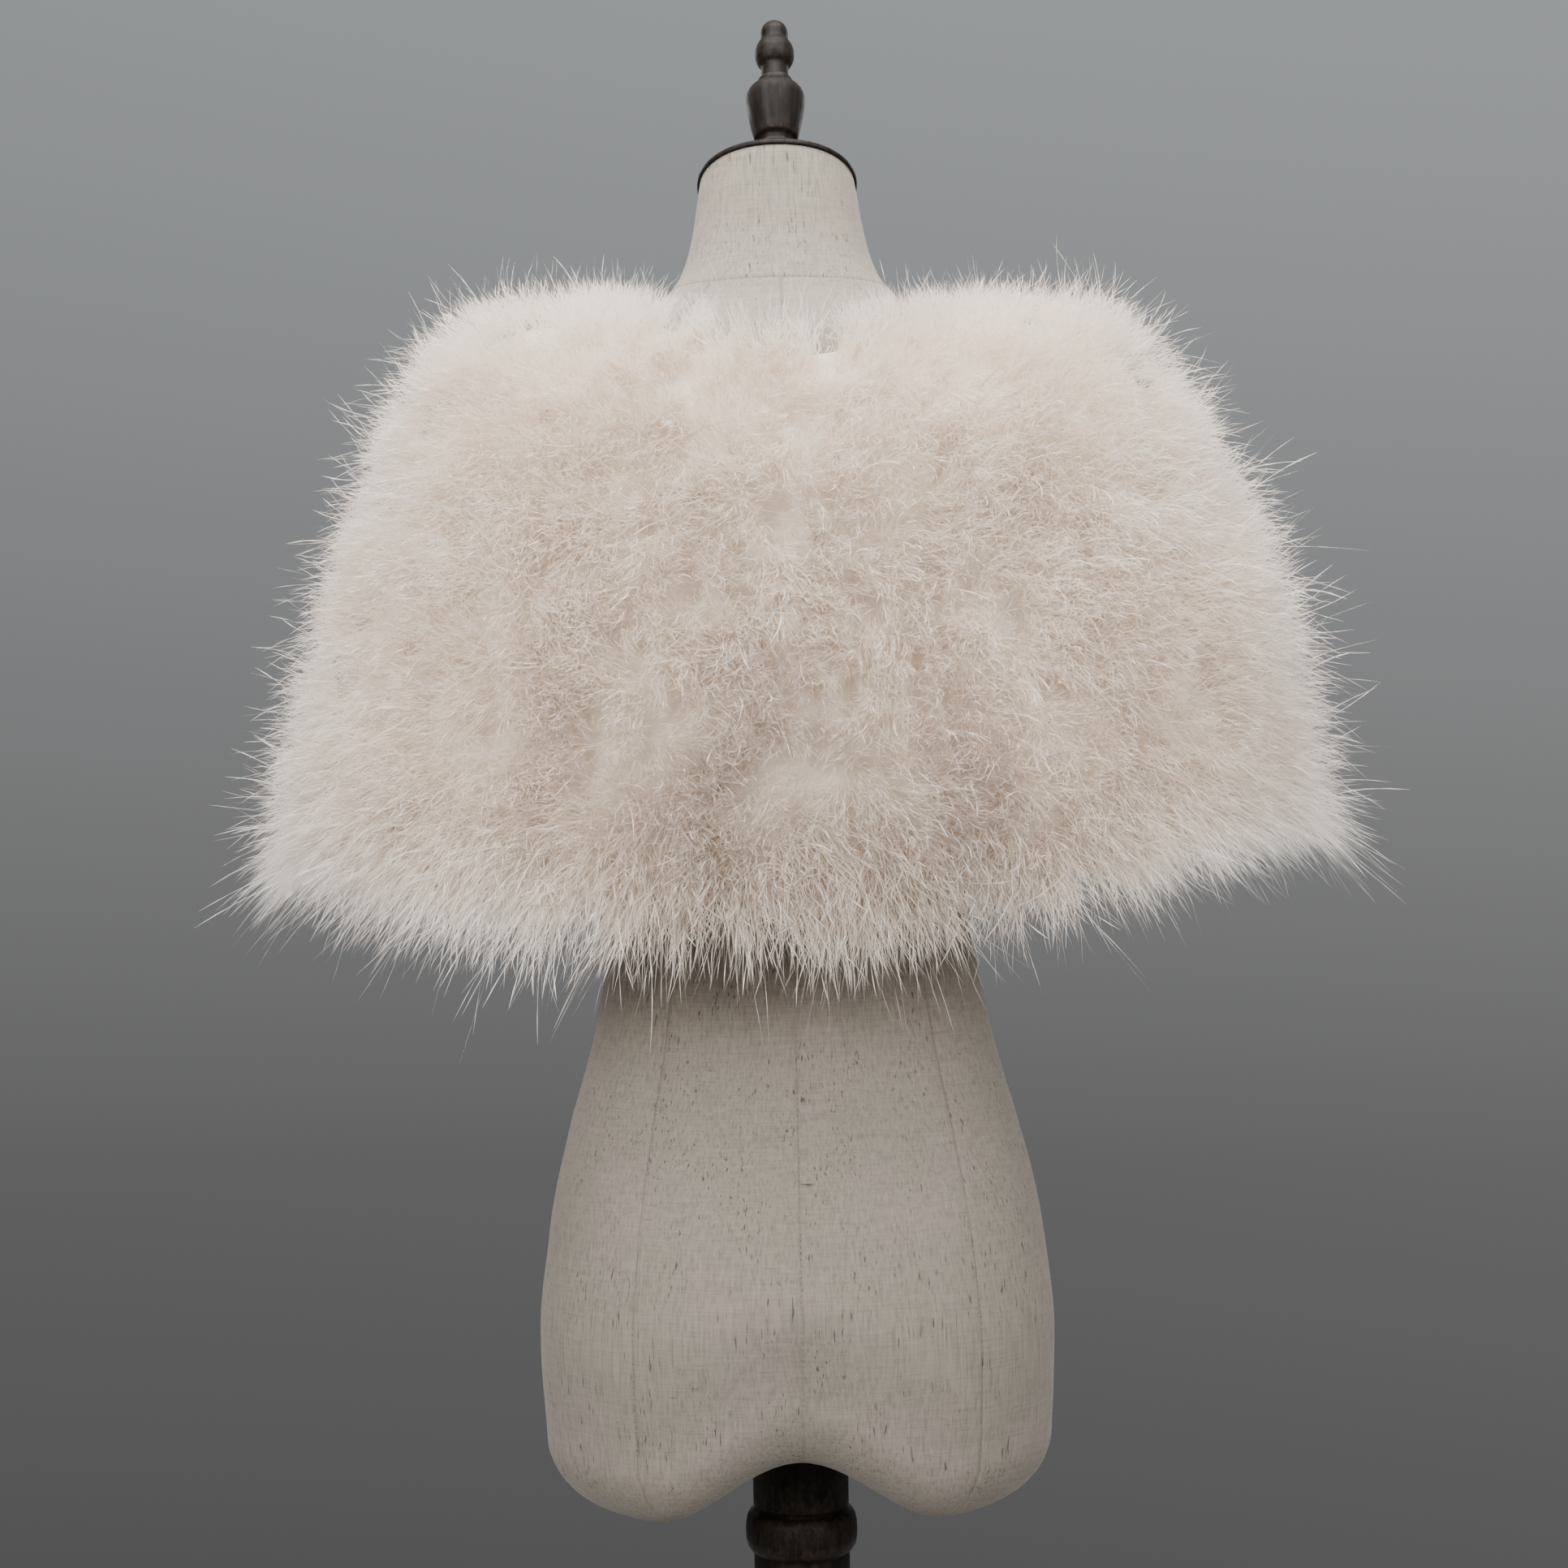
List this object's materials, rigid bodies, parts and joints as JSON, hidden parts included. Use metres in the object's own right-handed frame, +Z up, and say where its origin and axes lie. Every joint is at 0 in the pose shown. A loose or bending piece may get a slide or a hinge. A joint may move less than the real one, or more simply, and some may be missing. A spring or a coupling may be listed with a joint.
{
  "type": "marabou feather capelet on a limbless dress form",
  "caption": "Short round capelet covered in fluffy marabou plumes, open down the front, on a linen torso dress form with a turned wooden stand.",
  "frame": {"origin": "centre of the round base's underside, on the floor", "axes": "+Z up, the garment's front faces -Y, and +X is towards the wearer's left side"},
  "size_m": [0.6929, 0.4059, 1.5939],
  "materials": {
    "marabou": "fluffy ivory marabou plumes with soft curled barbs, warm beige deep in the pile",
    "ground_knit": "fine beige knit ground cloth",
    "linen": "natural linen stretched over a padded form, plain weave with slubs",
    "dark_wood": "dark brown stained turned wood, satin varnish",
    "hook_steel": "bright bent wire"
  },
  "bodies": {
    "root": {"plumes_back": "marabou", "plumes_left_front": "marabou", "plumes_right_front": "marabou", "ground_back": "ground_knit", "ground_left_front": "ground_knit", "ground_right_front": "ground_knit", "neck_hook": "hook_steel", "neck_bar": "hook_steel", "form_torso": "linen", "neck_cap": "dark_wood", "neck_finial": "dark_wood", "stand_pole": "dark_wood", "stand_base": "dark_wood"}
  },
  "joints": []
}
